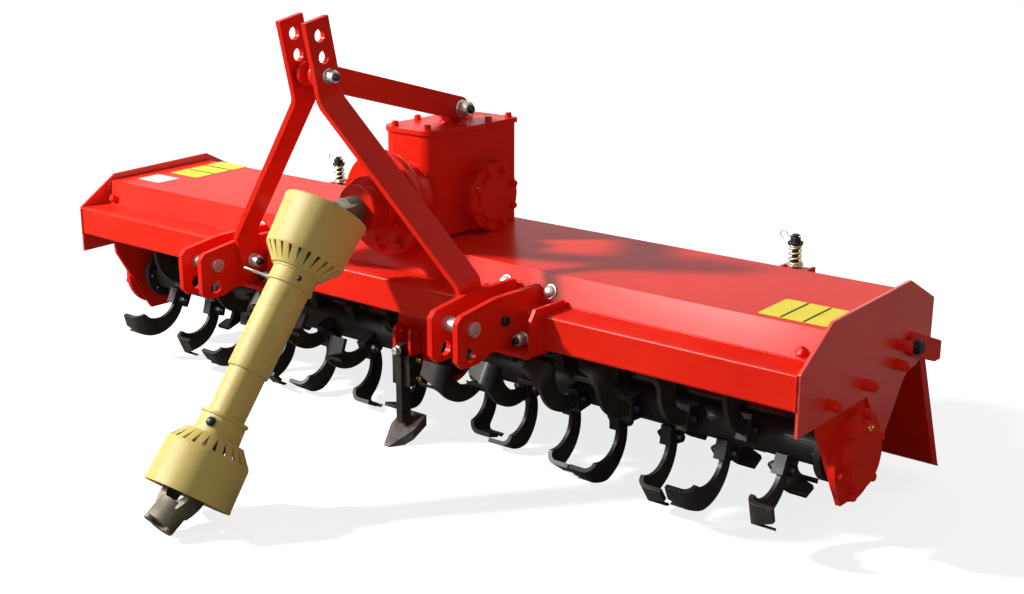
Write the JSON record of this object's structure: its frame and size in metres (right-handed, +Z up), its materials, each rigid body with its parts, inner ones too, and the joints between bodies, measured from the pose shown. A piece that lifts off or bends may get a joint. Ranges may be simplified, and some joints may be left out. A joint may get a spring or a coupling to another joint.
{
  "type": "rotary tiller",
  "caption": "Three-point hitch rotary tiller with a centre gearbox, tined rotor under a folded hood, hinged rear board, mast and a guarded universal-joint drive shaft",
  "frame": {"origin": "middle of the bounding box on the floor, in the machine's middle plane", "axes": "+X across the machine to its right end as seen from the hitch, -Y towards the tractor, +Z up"},
  "size_m": [2.048, 1.2058, 0.9238],
  "materials": {
    "red_paint": "glossy red paint, a little dusty",
    "black_paint": "worn black paint on forged steel",
    "bare_steel": "bare steel polished by soil",
    "zinc_steel": "zinc plated steel",
    "yellow_guard": "moulded yellow plastic",
    "forged_yoke": "dark olive forged steel"
  },
  "bodies": {
    "machine": {"front_beam": "red_paint", "hood": "red_paint", "end_plate_right": "red_paint", "end_plate_left": "red_paint", "bearing_plate_right": "red_paint", "bearing_plate_left": "red_paint", "bearing_housing_right": "red_paint", "bearing_housing_left": "red_paint", "gear_case": "red_paint", "side_cover_right": "red_paint", "side_cover_left": "red_paint", "gear_lid": "red_paint", "input_housing": "red_paint", "input_cap": "red_paint", "drive_case": "red_paint", "ripper_holder": "red_paint", "hitch_bracket_right": "red_paint", "hitch_bracket_left": "red_paint", "mast_bar_right": "red_paint", "mast_bar_left": "red_paint", "top_strut": "red_paint", "rod_brackets": "red_paint", "strut_pin_front": "red_paint", "ripper_shank": "black_paint", "hitch_pins": "zinc_steel", "strut_pin_rear": "zinc_steel", "board_pivots": "zinc_steel", "ripper_point": "bare_steel", "input_yoke": "forged_yoke"},
    "rotor": {"rotor_right": "black_paint", "rotor_left": "black_paint", "tines_right": "black_paint", "tines_left": "black_paint"},
    "board": {"rear_board": "red_paint", "spring_rods": "zinc_steel", "rod_springs": "black_paint"},
    "upper_cross": {"cross_upper": "forged_yoke"},
    "shaft_top": {"shaft_tube": "forged_yoke", "guard_upper": "yellow_guard"},
    "shaft_bottom": {"shaft_bar": "forged_yoke", "guard_lower": "yellow_guard"},
    "lower_cross": {"cross_lower": "forged_yoke"},
    "tractor_yoke": {"end_yoke": "forged_yoke"}
  },
  "joints": [
    {"name": "rotor_spin", "type": "hinge", "parent": "machine", "child": "rotor", "pos_m": [0, 0.1771, 0.188], "axis": [1, 0, 0], "continuous": true},
    {"name": "rear_board_hinge", "type": "hinge", "parent": "machine", "child": "board", "pos_m": [0, 0.3801, 0.34], "axis": [1, 0, 0], "range_deg": [0, 35]},
    {"name": "shaft_lift", "type": "hinge", "parent": "machine", "child": "upper_cross", "pos_m": [0, -0.1509, 0.53], "axis": [-1, 0, 0], "range_deg": [0, 72]},
    {"name": "shaft_swing", "type": "hinge", "parent": "upper_cross", "child": "shaft_top", "pos_m": [0, -0.1509, 0.53], "axis": [0, 0.788, -0.6157], "range_deg": [-25, 25]},
    {"name": "shaft_slide", "type": "slide", "parent": "shaft_top", "child": "shaft_bottom", "axis": [0, -0.6157, -0.788], "range_m": [-0.01, 0.1]},
    {"name": "end_swing", "type": "hinge", "parent": "shaft_bottom", "child": "lower_cross", "pos_m": [0, -0.50212, 0.08046], "axis": [0, 0.788, -0.6157], "range_deg": [-25, 25]},
    {"name": "end_tilt", "type": "hinge", "parent": "lower_cross", "child": "tractor_yoke", "pos_m": [0, -0.50212, 0.08046], "axis": [-1, 0, 0], "range_deg": [-35, 25]}
  ]
}
